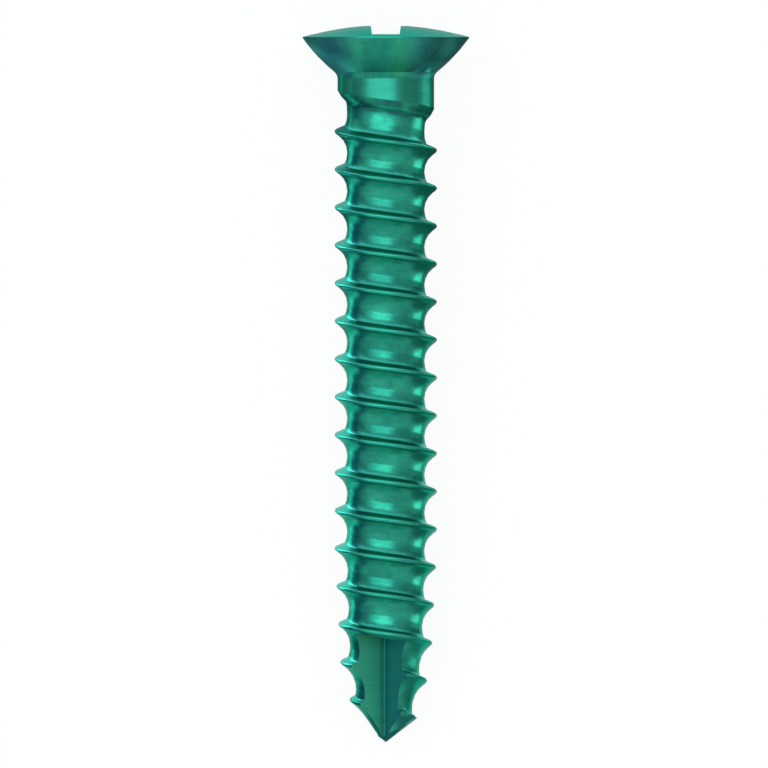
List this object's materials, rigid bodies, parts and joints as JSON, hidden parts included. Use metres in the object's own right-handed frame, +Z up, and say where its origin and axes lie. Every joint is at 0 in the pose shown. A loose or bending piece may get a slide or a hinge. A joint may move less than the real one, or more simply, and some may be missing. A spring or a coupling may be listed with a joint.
{
  "type": "bone screw",
  "caption": "Cortical bone screw for fixing a plate to bone: low countersunk head with a cross drive, plain neck, deep thread and self-tapping fluted point.",
  "frame": {"origin": "on the floor, under the middle of the screw's length, with the screw lying at rest", "axes": "+Y towards the head and -Y towards the tip, along the floor; +Z up; the flute seen in the picture faces up; the screw's own axis leans 3.52 degrees down towards the tip"},
  "size_m": [0.0044, 0.0189, 0.0044],
  "materials": {
    "anodised_titanium": "turned titanium with a green anodised layer, satin with soft highlights"
  },
  "bodies": {
    "root": {"bone_screw": "anodised_titanium"}
  },
  "joints": []
}
